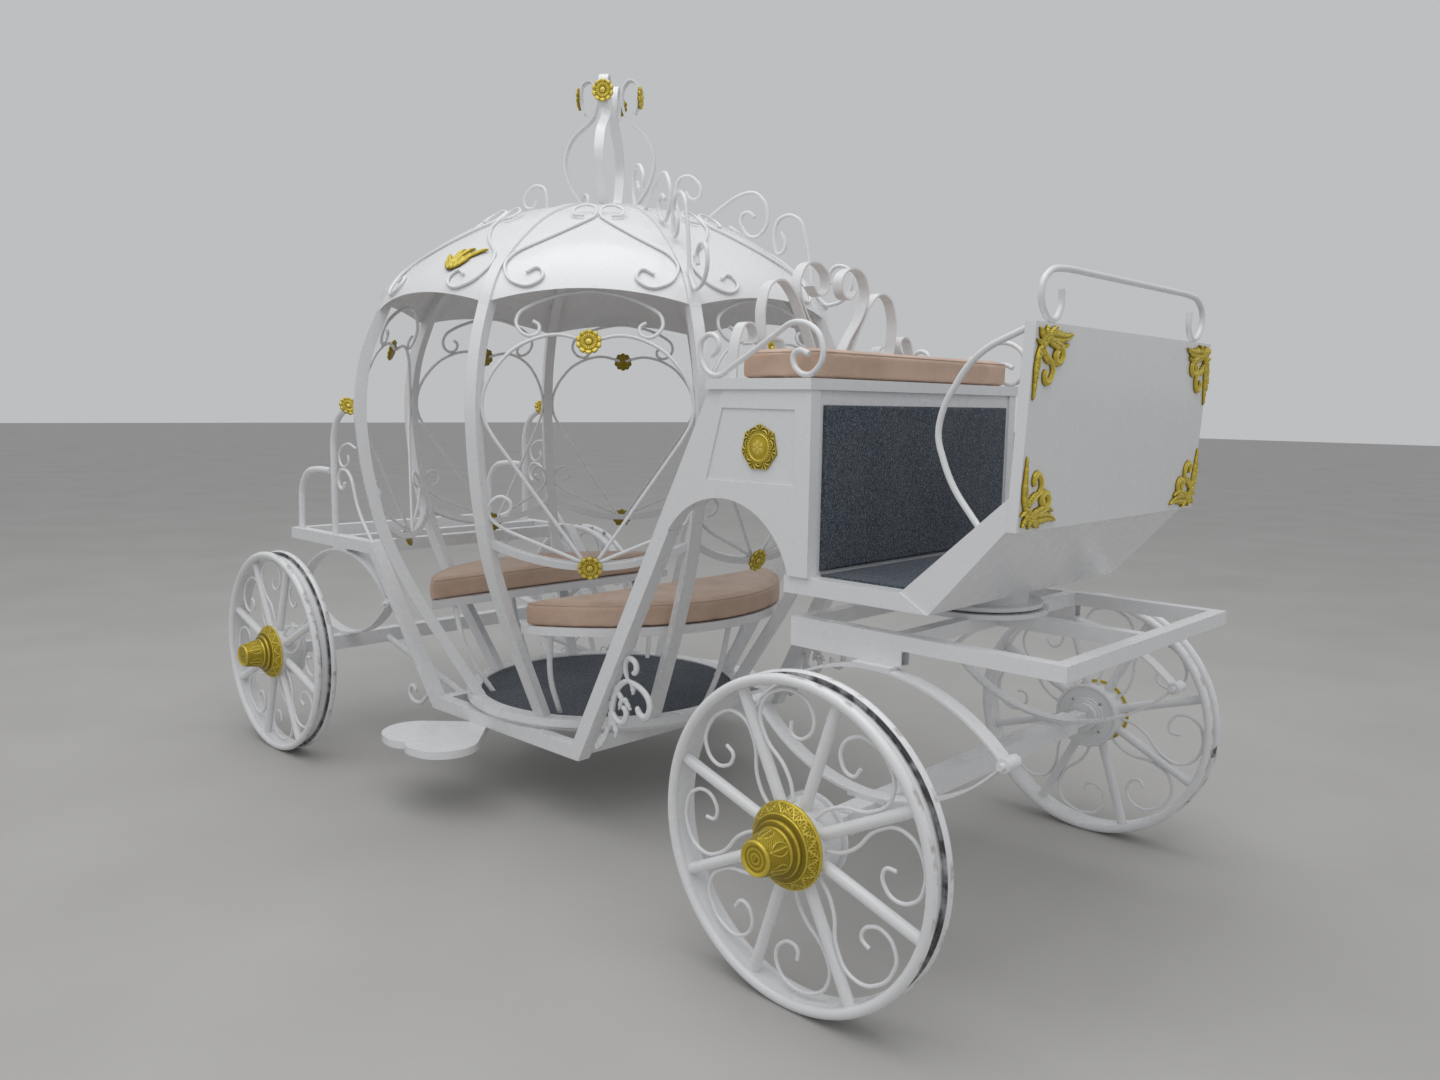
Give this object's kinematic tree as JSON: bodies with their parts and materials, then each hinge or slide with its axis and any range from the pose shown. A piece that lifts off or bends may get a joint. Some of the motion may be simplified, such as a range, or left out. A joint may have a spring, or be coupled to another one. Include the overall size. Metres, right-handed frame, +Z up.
{
  "type": "horse drawn carriage",
  "caption": "White domed sightseeing carriage with open round cage, facing benches, driver's box on a turntable and spoked steel wheels.",
  "frame": {"origin": "on the ground under the middle of the carriage", "axes": "+X forward, +Y left, +Z up"},
  "size_m": [3.812, 1.96, 2.6866],
  "materials": {
    "white_paint": "gloss",
    "gilt": "satin",
    "carpet": "matt",
    "leather": "satin"
  },
  "bodies": {
    "carriage_body": {"cradle_left": "white_paint", "cradle_right": "white_paint", "cradle_crossbars": "white_paint", "ribs_left": "white_paint", "ribs_right": "white_paint", "dome_panels": "white_paint", "crown": "white_paint", "dome_scrolls": "white_paint", "crest_scrolls": "white_paint", "finial": "white_paint", "cage_floor": "white_paint", "bench_frame_rear": "white_paint", "bench_frame_front": "white_paint", "grille_front": "white_paint", "grille_front_left": "white_paint", "grille_front_right": "white_paint", "grille_rear": "white_paint", "grille_rear_left": "white_paint", "grille_rear_right": "white_paint", "step_right": "white_paint", "step_left": "white_paint", "box_panel_left": "white_paint", "box_panel_right": "white_paint", "seat_tray": "white_paint", "box_riser": "white_paint", "driver_floor": "white_paint", "footboard": "white_paint", "dash": "white_paint", "seat_back": "white_paint", "seat_side_rails": "white_paint", "dash_rails": "white_paint", "turntable_upper": "white_paint", "handrail_left": "white_paint", "handrail_right": "white_paint", "springs_rear": "white_paint", "axle_rear": "white_paint", "gilt_plates": "gilt", "cage_carpet": "carpet", "driver_carpets": "carpet", "bench_cushion_rear": "leather", "bench_cushion_front": "leather", "driver_cushion": "leather"},
    "front_carriage": {"front_frame": "white_paint", "turntable_lower": "white_paint", "springs_front": "white_paint", "axle_front": "white_paint"},
    "front_right_wheel": {"wheel_front_right": "white_paint", "hub_cap_front_right": "gilt"},
    "front_left_wheel": {"wheel_front_left": "white_paint", "hub_cap_front_left": "gilt"},
    "rear_right_wheel": {"wheel_rear_right": "white_paint", "hub_cap_rear_right": "gilt"},
    "rear_left_wheel": {"wheel_rear_left": "white_paint", "hub_cap_rear_left": "gilt"}
  },
  "joints": [
    {"name": "steering", "type": "hinge", "parent": "carriage_body", "child": "front_carriage", "pos_m": [1.381, 0, 0.898], "axis": [0, 0, 1], "range_deg": [-60, 60]},
    {"name": "front_right_wheel_spin", "type": "hinge", "parent": "front_carriage", "child": "front_right_wheel", "pos_m": [1.381, -0.82, 0.42], "axis": [0, 1, 0], "continuous": true},
    {"name": "front_left_wheel_spin", "type": "hinge", "parent": "front_carriage", "child": "front_left_wheel", "pos_m": [1.381, 0.82, 0.42], "axis": [0, 1, 0], "continuous": true},
    {"name": "rear_right_wheel_spin", "type": "hinge", "parent": "carriage_body", "child": "rear_right_wheel", "pos_m": [-1.449, -0.82, 0.42], "axis": [0, 1, 0], "continuous": true},
    {"name": "rear_left_wheel_spin", "type": "hinge", "parent": "carriage_body", "child": "rear_left_wheel", "pos_m": [-1.449, 0.82, 0.42], "axis": [0, 1, 0], "continuous": true}
  ]
}
